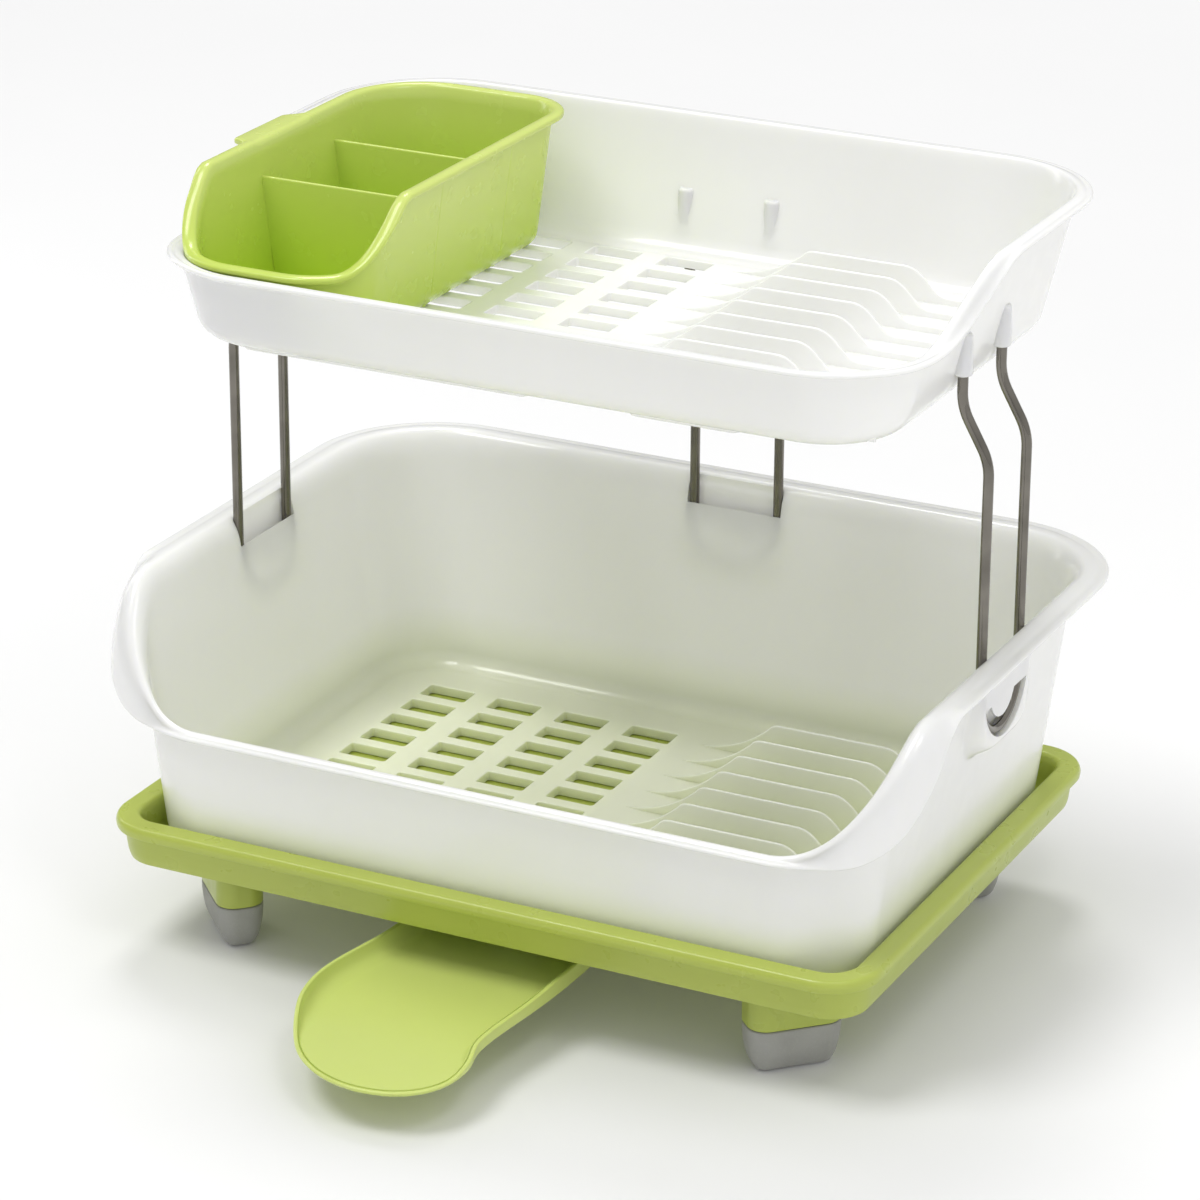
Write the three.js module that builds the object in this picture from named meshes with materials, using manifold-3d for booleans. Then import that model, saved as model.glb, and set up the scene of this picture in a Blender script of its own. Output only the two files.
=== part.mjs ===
// Two-tier dish drying rack: a drip tray on four rubber-tipped legs with a swivelling spout, a deep lower
// basket, three wire supports, a shallower upper basket and a cutlery holder hooked over its left rim.
// Millimetres. +Z is up, +X is to the right and -Y faces the user. Until the last lines the origin is on
// the counter, under the middle of the tray.
import * as THREE from 'three';
import { ParametricGeometry } from 'three/addons/geometries/ParametricGeometry.js';
import { mergeVertices } from 'three/addons/utils/BufferGeometryUtils.js';
import Module from 'manifold-3d';

const wasm = await Module();
wasm.setup();

// ---------------------------------------------------------------- driving dimensions

const GAP = 0.3;            // between pieces that touch
const WALL = 2.5;           // moulded wall thickness

const WIRE_RADIUS = 3;
const WIRE = {
  legSpacing: 56,           // between the two legs of one support
  bendBottom: 158.7,        // centre line of the U-bend's lowest point
  joggleFrom: 325,          // the legs lean inwards between these heights
  joggleTo: 355,
  joggle: 17,
  top: 394,
};

// The three supports. The legs stand at this distance out from the middle of the rack.
const STATIONS = [
  { name: 'wire_support_right', turn: 0, x: 238, y: 15 },
  { name: 'wire_support_back', turn: Math.PI / 2, x: 0, y: 178 },
  { name: 'wire_support_left', turn: Math.PI, x: -238, y: 15 },
];

const TRAY = {
  well: { halfX: 224.9, halfY: 161.8, radius: 16, centreY: 0 },
  rimTop: 79,
  rimWidth: 15,
  skirt: 7,
  floorTop: 55.5,
  underside: 52.8,
};

const LEG = { x: 179, y: 127.5, width: 55, depth: 28, corner: 11, capTop: 26.7 };
const PEG = { width: 40, depth: 14, corner: 5, bottom: 10 };

const DRAIN = { y: -105, bore: 10, nozzle: 13, nozzleBottom: 38 };

const LOWER = {
  ring: { halfX: 222.5, halfY: 160, radius: 45, centreY: 0 },   // outer wall at height sizedAt
  sizedAt: 75,
  draft: 0.123,
  lean: 0.02,                 // how far the section moves back for each mm of height
  floorTop: 62,
  underside: 59.3,
  bottomFillet: 10,
  front: { rim: 139.5, reach: 5, drop: 7 },
  side: { rim: 211, reach: 20.7, drop: 16 },
  riseFrom: -180,             // between these the rim climbs from its front to its side height
  riseTo: -108,
  lag: 20,                    // the flange's outer edge climbs this much further back
  grid: { columnRight: -10.5, underside: 55.8 },
  rib: { foot: 8, shoulder: 57, edge: 137, wall: 212, top: 85 },
};

const UPPER = {
  ring: { halfX: 217.5, halfY: 140.5, radius: 50, centreY: 17 },
  sizedAt: 373,
  draft: 0.245,
  lean: 0,
  floorTop: 360,
  underside: 357.3,
  bottomFillet: 10,
  front: { rim: 404, reach: 5, drop: 7 },
  side: { rim: 440, reach: 10.5, drop: 12 },
  riseFrom: -80,
  riseTo: 8,
  lag: 12,
  grid: { columnRight: 1, underside: 354.5 },
  rib: { foot: 17, shoulder: 65, edge: 133, wall: 206, top: 380 },
};

// Floor grid, the same in both baskets.
const GRID = { columns: 4, columnPitch: 46.8, slotLength: 31, rows: 10, rowPitch: 25.3, slotWidth: 16.5 };
const RIB_THICKNESS = 2;
const RIB_DRAIN = { from: 70, to: 128, width: 9 };

// Lower basket's pockets, which hold the U-bends. Local frame: x outwards from the legs, y along the wall.
const POCKET = {
  halfWidth: 38,
  bottom: 150,
  cover: 4.8,               // outer face of the cover, outwards from the legs
  clearance: 0.3,
  ledge: 193,               // top of the inner skin, where the legs come out
  windowTop: 179.5,
  tongueRadius: 18,
  tongueShift: -5,          // the tongue stands off the bend's centre by this much
};

const SOCKET = { mouth: 373, top: 397, radius: 5.2, topRadius: 4.6, bore: 3.4 };

const HOLDER = {
  ring: { halfX: 52, halfY: 123.6, radii: [20, 36, 36, 36], centreX: -158, centreY: 10 },
  sizedAt: 365,
  draft: 0.125,
  underside: 360.3,
  floorTop: 362.8,
  bottomFillet: 9,
  front: 407.5,
  high: 445,
  riseFrom: -106,
  riseTo: -62,
  roll: 4.5,                // height of the bead along the rim
  reach: 6.2,               // of the bead, outwards from the wall
  dividers: [-14, 70],
  dividerTop: 425,
};
const HOOK = { from: -13, to: 43, outer: -235, top: 444, bottom: 441 };

const SPOUT = {
  length: 202,              // from the drain's axis to the tip
  rear: 56,                 // radius of the closed end round the drain
  floor: 30,                // underside of the channel at the drain
  leftTop: 42.5,            // the left wall stands higher than the right one
  rightTop: 38.5,
  lip: 33.2,
  slope: 0.035,
  // Plan curves from the closed end down the left side, round the tip and up the right side.
  curves: [
    [-56, -32, -58, -46, -61, -62],
    [-66, -85, -71, -98, -70, -118],
    [-68, -140, -60, -158, -51, -171],
    [-38, -190, -18, -202, 4, -202],
    [26, -202, 49, -190, 49, -160],
    [49, -146, 44.5, -146, 45, -130],
    [46, -100, 56, -80, 56, 0],
  ],
};
const DECK = { bottom: 45.5, top: 48.5, hole: 13.4, front: -22 };
const NUT = { bottom: 39.6, outer: 19 };

// ---------------------------------------------------------------- materials

const plastic = (color, roughness) => new THREE.MeshStandardMaterial({ color, roughness, metalness: 0 });
const GREEN = plastic(0xa9c956, 0.35);
const WHITE = plastic(0xe9e9e6, 0.3);
const GREY_RUBBER = plastic(0x85857f, 0.8);
const STEEL = new THREE.MeshStandardMaterial({ color: 0xa9a49c, roughness: 0.22, metalness: 1 });

// ---------------------------------------------------------------- helpers

const mix = (a, b, t) => a + (b - a) * t;
const smooth = (value, from, to) => {
  const t = THREE.MathUtils.clamp((value - from) / (to - from), 0, 1);
  return t * t * (3 - 2 * t);
};

// Closed three.js geometry to a manifold solid, with its faces turned outwards.
function solid(geometry) {
  const bare = geometry.clone();
  bare.deleteAttribute('normal');
  bare.deleteAttribute('uv');
  const merged = mergeVertices(bare, 1e-3);
  const index = Array.from(merged.index.array);
  const triangles = [];
  for (let i = 0; i < index.length; i += 3) {
    const [a, b, c] = index.slice(i, i + 3);
    if (a !== b && b !== c && c !== a) triangles.push(a, b, c);
  }
  const build = (order) => new wasm.Manifold(new wasm.Mesh({
    numProp: 3,
    vertProperties: new Float32Array(merged.attributes.position.array),
    triVerts: new Uint32Array(order),
  }));
  const body = build(triangles);
  return body.volume() > 0 ? body : build(triangles.reverse());
}

const join = (...solids) => solids.reduce((sum, next) => sum.add(next));

function geometryOf(body) {
  const mesh = body.getMesh();
  const geometry = new THREE.BufferGeometry();
  geometry.setAttribute('position', new THREE.BufferAttribute(new Float32Array(mesh.vertProperties), 3));
  geometry.setIndex(new THREE.BufferAttribute(new Uint32Array(mesh.triVerts), 1));
  geometry.computeVertexNormals();
  return geometry;
}

function piece(name, geometry, material) {
  const mesh = new THREE.Mesh(geometry, material.clone());
  mesh.name = name;
  return mesh;
}

function box(low, high) {
  const size = high.map((value, i) => value - low[i]);
  return new THREE.BoxGeometry(...size).translate(...high.map((value, i) => (value + low[i]) / 2));
}

// Upright cylinder or cone between two heights.
function post(x, y, bottom, top, radius, topRadius = radius, sides = 24) {
  return new THREE.CylinderGeometry(topRadius, radius, top - bottom, sides)
    .rotateX(Math.PI / 2).translate(x, y, (bottom + top) / 2);
}

function roundedRectangle(halfX, halfY, radius) {
  const shape = new THREE.Shape();
  shape.absarc(halfX - radius, halfY - radius, radius, 0, Math.PI / 2);
  shape.absarc(radius - halfX, halfY - radius, radius, Math.PI / 2, Math.PI);
  shape.absarc(radius - halfX, radius - halfY, radius, Math.PI, 1.5 * Math.PI);
  shape.absarc(halfX - radius, radius - halfY, radius, 1.5 * Math.PI, 2 * Math.PI);
  return shape;
}

const extrude = (shape, depth, curveSegments = 4) =>
  new THREE.ExtrudeGeometry(shape, { depth, bevelEnabled: false, curveSegments });

// A shape drawn in (y, z), extruded along +X from x = from to x = to.
const acrossX = (shape, from, to, curveSegments) =>
  extrude(shape, to - from, curveSegments).rotateX(Math.PI / 2).rotateZ(Math.PI / 2).translate(from, 0, 0);

// A shape drawn in (x, z), extruded along Y, centred on y = middle.
const acrossY = (shape, middle, thickness, curveSegments) =>
  extrude(shape, thickness, curveSegments).rotateX(Math.PI / 2).translate(0, middle + thickness / 2, 0);

// Point and outward direction on a rounded rectangle, anticlockwise as u goes from 0 to 1. Each quarter is
// a corner arc followed by a straight side.
function ringPoint(ring, u, steps) {
  const quarter = Math.min(Math.floor(u * 4), 3);
  const along = (u * 4 - quarter) * (steps.corner + steps.side);
  const onCorner = Math.min(along / steps.corner, 1);
  const onSide = Math.max((along - steps.corner) / steps.side, 0);
  const angle = (quarter + onCorner) * Math.PI / 2;
  const radiusOf = (q) => (ring.radii ? ring.radii[q % 4] : ring.radius);
  const cornerAt = (q) => [
    (q % 4 === 0 || q % 4 === 3 ? 1 : -1) * (ring.halfX - radiusOf(q)),
    (q % 4 < 2 ? 1 : -1) * (ring.halfY - radiusOf(q)),
  ];
  const radius = mix(radiusOf(quarter), radiusOf(quarter + 1), onSide);
  const [fromX, fromY] = cornerAt(quarter);
  const [toX, toY] = cornerAt(quarter + 1);
  const normal = [Math.cos(angle), Math.sin(angle)];
  return {
    x: (ring.centreX ?? 0) + mix(fromX, toX, onSide) + radius * normal[0],
    y: ring.centreY + mix(fromY, toY, onSide) + radius * normal[1],
    normal,
  };
}

// Closed body whose sections are offsets of one rounded rectangle. profile(point) lists [offset, height]
// pairs from the edge of the underside, round the rim and down to the edge of the floor; the first and last
// height also close the middle.
function ringBody(ring, profile, steps, lean = () => 0) {
  const slices = 4 * (steps.corner + steps.side);
  const stacks = profile(ringPoint(ring, 0, steps)).length + 1;
  const place = (u, v, target) => {
    const point = ringPoint(ring, u % 1, steps);
    const list = profile(point);
    const row = Math.round(v * stacks);
    if (row === 0 || row === stacks) {
      const height = list[row === 0 ? 0 : list.length - 1][1];
      target.set(ring.centreX ?? 0, ring.centreY, height);
      return;
    }
    const [offset, height] = list[row - 1];
    target.set(
      point.x + point.normal[0] * offset,
      point.y + point.normal[1] * offset + lean(height),
      height,
    );
  };
  return solid(new ParametricGeometry(place, slices, stacks));
}

// A quarter turn from vertical (t = 0) to horizontal (t = 1).
const quarterTurn = (t) => [1 - Math.cos(t * Math.PI / 2), Math.sin(t * Math.PI / 2)];

// ---------------------------------------------------------------- drip tray, legs and feet

function trayProfile() {
  const { rimTop, skirt, rimWidth, underside, floorTop } = TRAY;
  return [
    [-2, underside],                       // underside of the floor
    [-0.6, underside + 1.5],
    [1.8, rimTop - 4],                     // hollow under the rim, open below
    [6.4, rimTop - 4],
    [5.2, underside],
    [7.2, underside],                      // bottom edge of the outer wall
    [8.9, underside + 3],
    [11.3, rimTop - skirt],
    [rimWidth, rimTop - skirt],            // skirt
    [rimWidth, rimTop - 2],
    [rimWidth - 2, rimTop],
    [1.2, rimTop],
    [0, rimTop - 1.2],
    [-2.6, floorTop + 3],
    [-5.6, floorTop],
  ];
}

function legPlan(halfWidth, halfDepth, corner, sideX, sideY, bottom, top) {
  const turn = sideX * sideY > 0 ? -Math.PI / 4 : Math.PI / 4;
  return solid(extrude(roundedRectangle(halfWidth, halfDepth, corner), top - bottom)
    .rotateZ(turn).translate(sideX * LEG.x, sideY * LEG.y, bottom));
}

const CORNERS = [
  { name: 'front_left', x: -1, y: -1 },
  { name: 'front_right', x: 1, y: -1 },
  { name: 'back_left', x: -1, y: 1 },
  { name: 'back_right', x: 1, y: 1 },
];

function dripTray() {
  let body = ringBody(TRAY.well, trayProfile, { corner: 5, side: 2 });
  for (const side of CORNERS) {
    const leg = legPlan(LEG.width / 2, LEG.depth / 2, LEG.corner, side.x, side.y, LEG.capTop + GAP,
      TRAY.underside + 1);
    const peg = legPlan(PEG.width / 2, PEG.depth / 2, PEG.corner, side.x, side.y, PEG.bottom,
      LEG.capTop + 1);
    body = join(body, leg, peg);
  }
  const nozzle = solid(post(0, DRAIN.y, DRAIN.nozzleBottom, TRAY.underside + 1, DRAIN.nozzle));
  const drain = solid(post(0, DRAIN.y, DRAIN.nozzleBottom - 5, TRAY.floorTop + 5, DRAIN.bore));
  return piece('drip_tray', geometryOf(body.add(nozzle).subtract(drain)), GREEN);
}

// Rubber cap: straight at its mouth and rounded in to a small flat sole.
function footCap(side) {
  const ring = { halfX: LEG.width / 2, halfY: LEG.depth / 2, radius: LEG.corner, centreY: 0 };
  const levels = 5;
  const inset = 8.5;
  const profile = () => {
    const list = [];
    for (let i = 1; i <= levels; i += 1) {
      const [, rise] = quarterTurn(i / levels);
      list.push([-inset * (1 - rise), LEG.capTop * (1 - Math.cos(i / levels * Math.PI / 2))]);
    }
    return [[-inset, 0], ...list, [-inset, LEG.capTop]];
  };
  const turn = side.x * side.y > 0 ? -Math.PI / 4 : Math.PI / 4;
  const socket = solid(extrude(roundedRectangle(PEG.width / 2 + GAP, PEG.depth / 2 + GAP, PEG.corner + GAP), 30)
    .translate(0, 0, PEG.bottom - GAP));
  const cap = ringBody(ring, profile, { corner: 4, side: 1 }).subtract(socket);
  const mesh = piece(`foot_${side.name}`, geometryOf(cap), GREY_RUBBER);
  mesh.rotation.z = turn;
  mesh.position.set(side.x * LEG.x, side.y * LEG.y, 0);
  return mesh;
}

// ---------------------------------------------------------------- spout

// Plan of the spout: a round closed end about the drain, bulging to the left, with a broad round tip.
function spoutPlan(inset) {
  const outline = new THREE.Shape();
  outline.absarc(0, 0, SPOUT.rear, 0, Math.PI);
  for (const curve of SPOUT.curves) outline.bezierCurveTo(...curve);
  const points = outline.getPoints(6).slice(0, -1);
  return new THREE.Shape(points.map((point, i) => {
    const before = points.at(i - 1);
    const along = points[(i + 1) % points.length].clone().sub(before).setLength(inset);
    return new THREE.Vector2(point.x - along.y, point.y + along.x);
  }));
}

// What is taken off above one side wall: it runs level, then falls to a low lip at the tip.
function spoutTrim(wallTop, from, to) {
  const shape = new THREE.Shape();
  shape.moveTo(-SPOUT.length - 20, SPOUT.lip);
  shape.lineTo(-178, SPOUT.lip);
  shape.bezierCurveTo(-164, SPOUT.lip, -150, wallTop, -136, wallTop);
  shape.lineTo(-105, wallTop);
  shape.lineTo(-45, SPOUT.leftTop + 1);
  shape.lineTo(-45, SPOUT.leftTop + 20);
  shape.lineTo(-SPOUT.length - 20, SPOUT.leftTop + 20);
  return solid(acrossX(shape, from, to, 6));
}

// Closed chamber round the drain, with a deck that turns on the drain nozzle.
function spoutHub() {
  const chamber = solid(post(0, 0, SPOUT.floor + 1, DECK.top, SPOUT.rear - 0.5, SPOUT.rear - 0.5, 32));
  const room = solid(post(0, 0, SPOUT.floor, DECK.bottom, SPOUT.rear - WALL, SPOUT.rear - WALL, 32));
  const hole = solid(post(0, 0, DECK.bottom - 5, DECK.top + 5, DECK.hole));
  const mouth = solid(box([-90, -90, SPOUT.floor - 5], [90, DECK.front, DECK.top + 5]));
  return chamber.subtract(room).subtract(hole).subtract(mouth);
}

function swivelSpout() {
  const { floor, leftTop, rightTop, slope } = SPOUT;
  const outer = solid(extrude(spoutPlan(0), leftTop - floor).translate(0, 0, floor));
  const inner = solid(extrude(spoutPlan(WALL), 40).translate(0, 0, floor + WALL));
  const trim = join(spoutTrim(leftTop, -100, 0), spoutTrim(rightTop, 0, 100));
  const channel = geometryOf(outer.subtract(inner).subtract(trim))
    .applyMatrix4(new THREE.Matrix4().makeShear(0, 0, 0, slope, 0, 0));
  const mesh = piece('swivel_spout', geometryOf(solid(channel).add(spoutHub())), GREEN);
  mesh.position.set(0, DRAIN.y, 0);
  return mesh;
}

// Ring nut on the drain nozzle, under the spout's deck: it carries the spout and lets it turn.
function drainNut() {
  const ring = solid(post(0, 0, NUT.bottom, DECK.bottom - GAP, NUT.outer, NUT.outer, 12))
    .subtract(solid(post(0, 0, NUT.bottom - 5, DECK.top, DRAIN.nozzle + 2 * GAP)));
  const mesh = piece('drain_nut', geometryOf(ring), WHITE);
  mesh.position.set(0, DRAIN.y, 0);
  return mesh;
}

// ---------------------------------------------------------------- baskets

// Section of a basket's wall: rounded bottom edge, drafted wall, and a flange that turns outwards over a
// crest to an outer edge.
function basketProfile(spec, point) {
  const { front, side, lag, bottomFillet } = spec;
  const [, facing] = point.normal;
  const climb = (back) => smooth(point.y + 12 * facing - back, spec.riseFrom, spec.riseTo);
  const crest = mix(front.rim, side.rim, climb(0));
  const edge = mix(front.rim, side.rim - 1.5, climb(lag));
  const reach = mix(side.reach, front.reach, smooth(-facing, 0.3, 1));
  const drop = mix(side.drop, front.drop, smooth(-facing, 0.3, 1));
  const droop = THREE.MathUtils.clamp((crest - edge) / 20, 0, 1);
  const wallAt = (height) => spec.draft * (height - spec.sizedAt);
  const flare = crest - drop;
  const wall = wallAt(flare);
  const bottomEdge = (from, thickness) => [0, 0.5, 1].map((t) => {
    const [out, up] = quarterTurn(t);
    const height = from + bottomFillet * out;
    return [wallAt(height) - thickness - bottomFillet * (1 - up), height];
  });
  return [
    ...bottomEdge(spec.underside, 0),
    [wall, flare],
    [wall + 0.13 * reach, flare + 0.55 * (drop - WALL)],
    [wall + 0.5 * reach, crest - WALL],
    [wall + reach - droop * WALL, edge - (1 - droop) * WALL],
    [wall + reach, edge],
    [wall + 0.5 * reach - WALL, crest],
    [wall + 0.13 * reach - WALL, flare + 0.6 * drop],
    [wall - WALL, flare],
    ...bottomEdge(spec.floorTop, WALL).reverse(),
  ];
}

const rowHeights = (spec) => Array.from(
  { length: GRID.rows },
  (_, row) => spec.ring.centreY + (row - (GRID.rows - 1) / 2) * GRID.rowPitch,
);

// The drainage grid: slots through a deeper panel on the left, and a narrow one between plate ribs.
function floorGrid(spec) {
  const { columnRight, underside } = spec.grid;
  const left = columnRight - GRID.columns * GRID.columnPitch + (GRID.columnPitch - GRID.slotLength);
  const rows = rowHeights(spec);
  const edge = GRID.slotWidth / 2 + 4;
  const panel = (from, to) => solid(box(
    [from, rows[0] - edge, underside],
    [to, rows[GRID.rows - 1] + edge, spec.floorTop - 0.5],
  ));
  const slots = [];
  for (const y of rows) {
    for (let column = 0; column < GRID.columns; column += 1) {
      const right = columnRight - column * GRID.columnPitch;
      slots.push(solid(box(
        [right - GRID.slotLength, y - GRID.slotWidth / 2, underside - 5],
        [right, y + GRID.slotWidth / 2, spec.floorTop + 5],
      )));
    }
  }
  for (const y of rows.slice(1)) {
    const middle = y - GRID.rowPitch / 2;
    slots.push(solid(box(
      [RIB_DRAIN.from, middle - RIB_DRAIN.width / 2, underside - 5],
      [RIB_DRAIN.to, middle + RIB_DRAIN.width / 2, spec.floorTop + 5],
    )));
  }
  const panels = [panel(left - 4, columnRight + 4), panel(RIB_DRAIN.from - 4, RIB_DRAIN.to + 4)];
  return { panels, slots: join(...slots) };
}

// Upright rib that holds plates: it sweeps up from the floor, runs level and falls to a low ledge.
function plateRib(spec, y) {
  const { foot, shoulder, edge, wall, top } = spec.rib;
  const base = spec.floorTop - 1;
  const ledge = spec.floorTop + 4;
  const shape = new THREE.Shape();
  shape.moveTo(foot, base);
  shape.lineTo(foot, spec.floorTop + 0.4);
  shape.quadraticCurveTo(shoulder - 21, spec.floorTop + 2.5, shoulder - 3, top - 2.8);
  shape.quadraticCurveTo(shoulder - 1, top, shoulder + 4, top);
  shape.lineTo(edge - 8, top);
  shape.quadraticCurveTo(edge, top, edge + 7, top - 8);
  shape.lineTo(edge + top - ledge - 4, ledge + 3);
  shape.lineTo(edge + top - ledge + 5, ledge);
  shape.lineTo(wall, ledge);
  shape.lineTo(wall, base);
  return solid(acrossY(shape, y, RIB_THICKNESS, 5));
}

// Puts a geometry drawn in a support's local frame where that support stands.
const atStation = (station, geometry) => geometry.rotateZ(station.turn).translate(station.x, station.y, 0);

// Block outside the wall that houses a U-bend. Its inner edge runs inside the wall's thickness.
function pocketBlock(station) {
  const shape = new THREE.Shape();
  shape.moveTo(-8.5, POCKET.bottom);
  shape.lineTo(POCKET.cover, POCKET.bottom + 2);
  shape.lineTo(POCKET.cover, POCKET.ledge + 14);
  shape.lineTo(1.4, POCKET.ledge + 12);
  shape.lineTo(-5, POCKET.ledge + 4);
  const block = acrossY(shape, 0, 2 * POCKET.halfWidth, 1);
  return solid(atStation(station, block));
}

// Room for a support in its pocket: a slot open at the top, and a window on the bend from outside.
function pocketRoom(station) {
  const half = WIRE_RADIUS + POCKET.clearance;
  const radius = WIRE.legSpacing / 2 + half;
  const middle = WIRE.bendBottom + WIRE.legSpacing / 2;
  const slot = new THREE.Shape();
  slot.absarc(0, middle, radius, Math.PI, 2 * Math.PI);
  slot.lineTo(radius, POCKET.ledge + 1);
  slot.lineTo(-radius, POCKET.ledge + 1);
  const window = new THREE.Shape();
  const outerAngle = Math.asin((middle - POCKET.windowTop) / radius);
  const innerAngle = Math.asin((middle - POCKET.windowTop) / POCKET.tongueRadius);
  window.absarc(0, middle, radius, Math.PI + outerAngle, 2 * Math.PI - outerAngle);
  window.absarc(POCKET.tongueShift, middle, POCKET.tongueRadius, -innerAngle, Math.PI + innerAngle, true);
  const notch = box([-14, -radius, POCKET.ledge], [half, radius, 230]);
  return join(
    solid(atStation(station, acrossX(slot, -half, half, 8))),
    solid(atStation(station, acrossX(window, 0, POCKET.cover + 5, 8))),
    solid(atStation(station, notch)),
  );
}

// The two sockets that take a support's upper ends, and their bores.
function sockets(station) {
  const bodies = [];
  const bores = [];
  for (const side of [-1, 1]) {
    const y = side * WIRE.legSpacing / 2;
    bodies.push(solid(atStation(station,
      post(-WIRE.joggle, y, SOCKET.mouth, SOCKET.top, SOCKET.radius, SOCKET.topRadius, 12))));
    bores.push(solid(atStation(station,
      post(-WIRE.joggle, y, SOCKET.mouth - 3, WIRE.top + 0.6, SOCKET.bore, SOCKET.bore, 12))));
  }
  return { bodies, bores };
}

function basket(name, spec, fittings) {
  const shell = ringBody(
    spec.ring,
    (point) => basketProfile(spec, point),
    { corner: 8, side: 4 },
    (height) => spec.lean * (height - spec.sizedAt),
  );
  const grid = floorGrid(spec);
  const ribs = rowHeights(spec).map((y) => plateRib(spec, y));
  const body = join(shell, ...grid.panels, ...ribs, ...fittings.add)
    .subtract(grid.slots)
    .subtract(join(...fittings.cut));
  return piece(name, geometryOf(body), WHITE);
}

function lowerBasket() {
  return basket('lower_basket', LOWER, { add: STATIONS.map(pocketBlock), cut: STATIONS.map(pocketRoom) });
}

function upperBasket() {
  const all = STATIONS.map(sockets);
  return basket('upper_basket', UPPER, {
    add: all.flatMap((pair) => pair.bodies),
    cut: all.flatMap((pair) => pair.bores),
  });
}

// ---------------------------------------------------------------- wire supports

// Path of a rod through given points, with one cross-section at each of them.
class RodPath extends THREE.Curve {
  constructor(points) {
    super();
    this.points = points;
  }

  getUtoTmapping(u) {
    return u;
  }

  getPoint(t) {
    const along = t * (this.points.length - 1);
    const i = Math.min(Math.floor(along), this.points.length - 2);
    return this.points[i].clone().lerp(this.points[i + 1], along - i);
  }

  getTangent(t) {
    const last = this.points.length - 1;
    const i = Math.round(t * last);
    const towards = (from, to) => this.points[to].clone().sub(this.points[from]).normalize();
    const before = towards(Math.max(i - 1, 0), Math.max(i, 1));
    const after = towards(Math.min(i, last - 1), Math.min(i + 1, last));
    return before.add(after).normalize();
  }
}

// Bend between two straight lengths of rod.
function rodCorner(from, at, to) {
  const start = from.clone().sub(at).setLength(6).add(at);
  const end = to.clone().sub(at).setLength(6).add(at);
  return new THREE.QuadraticBezierCurve3(start, at, end).getPoints(2);
}

// Down one leg, round the U-bend and up the other leg. Local frame: x outwards, y along the wall.
function supportPath() {
  const half = WIRE.legSpacing / 2;
  const middle = WIRE.bendBottom + half;
  const leg = (side) => {
    const spot = (x, z) => new THREE.Vector3(x, side * half, z);
    const end = spot(-WIRE.joggle, WIRE.top);
    const high = spot(-WIRE.joggle, WIRE.joggleTo);
    const low = spot(0, WIRE.joggleFrom);
    return [end, ...rodCorner(end, high, low), ...rodCorner(high, low, spot(0, middle))];
  };
  const bend = [];
  for (let i = 0; i <= 10; i += 1) {
    const angle = i / 10 * Math.PI;
    bend.push(new THREE.Vector3(0, -half * Math.cos(angle), middle - half * Math.sin(angle)));
  }
  return new RodPath([...leg(-1), ...bend, ...leg(1).reverse()]);
}

function wireSupport(station) {
  const section = new THREE.Shape();
  section.absarc(0, 0, WIRE_RADIUS, 0, 2 * Math.PI);
  const path = supportPath();
  const steps = path.points.length - 1;
  const rod = new THREE.ExtrudeGeometry(section, { steps, curveSegments: 6, extrudePath: path });
  const mesh = piece(station.name, geometryOf(solid(rod)), STEEL);
  mesh.rotation.z = station.turn;
  mesh.position.set(station.x, station.y, 0);
  return mesh;
}

// ---------------------------------------------------------------- cutlery holder

// Section of the holder's wall, with a bead rolled outwards along its rim.
function holderProfile(point) {
  const rim = mix(HOLDER.front, HOLDER.high, smooth(point.y, HOLDER.riseFrom, HOLDER.riseTo));
  const wallAt = (height) => HOLDER.draft * (height - HOLDER.sizedAt);
  const fillet = HOLDER.bottomFillet;
  const { roll, underside, floorTop } = HOLDER;
  const edge = wallAt(rim) + HOLDER.reach;
  return [
    [wallAt(underside) - fillet, underside],
    [wallAt(underside) - 0.3 * fillet, underside + 0.3 * fillet],
    [wallAt(underside + fillet), underside + fillet],
    [wallAt(rim - roll), rim - roll],
    [edge - 1, rim - roll],
    [edge, rim - 0.5 * roll],
    [edge - 2, rim],
    [wallAt(rim) - 0.5 * WALL, rim],
    [wallAt(rim) - WALL, rim - 0.5 * WALL],
    [wallAt(floorTop + fillet) - WALL, floorTop + fillet],
    [wallAt(floorTop) - WALL - 0.3 * fillet, floorTop + 0.3 * fillet],
    [wallAt(floorTop) - WALL - fillet, floorTop],
  ];
}

function holderDivider(y) {
  const { ring, draft, sizedAt, floorTop, dividerTop } = HOLDER;
  const half = (height) => ring.halfX + draft * (height - sizedAt) - 0.5 * WALL;
  const shape = new THREE.Shape();
  shape.moveTo(ring.centreX - half(floorTop) + 2, floorTop - 1);
  shape.lineTo(ring.centreX + half(floorTop) - 2, floorTop - 1);
  shape.lineTo(ring.centreX + half(dividerTop), dividerTop);
  shape.lineTo(ring.centreX - half(dividerTop), dividerTop);
  return solid(acrossY(shape, y, 2, 1));
}

// Tab that rests over the upper basket's left rim.
function holderHook() {
  const { ring, draft, sizedAt, high } = HOLDER;
  const start = ring.centreX - ring.halfX - draft * (high - sizedAt);
  return solid(box([HOOK.outer, HOOK.from, HOOK.bottom], [start, HOOK.to, HOOK.top]));
}

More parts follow.
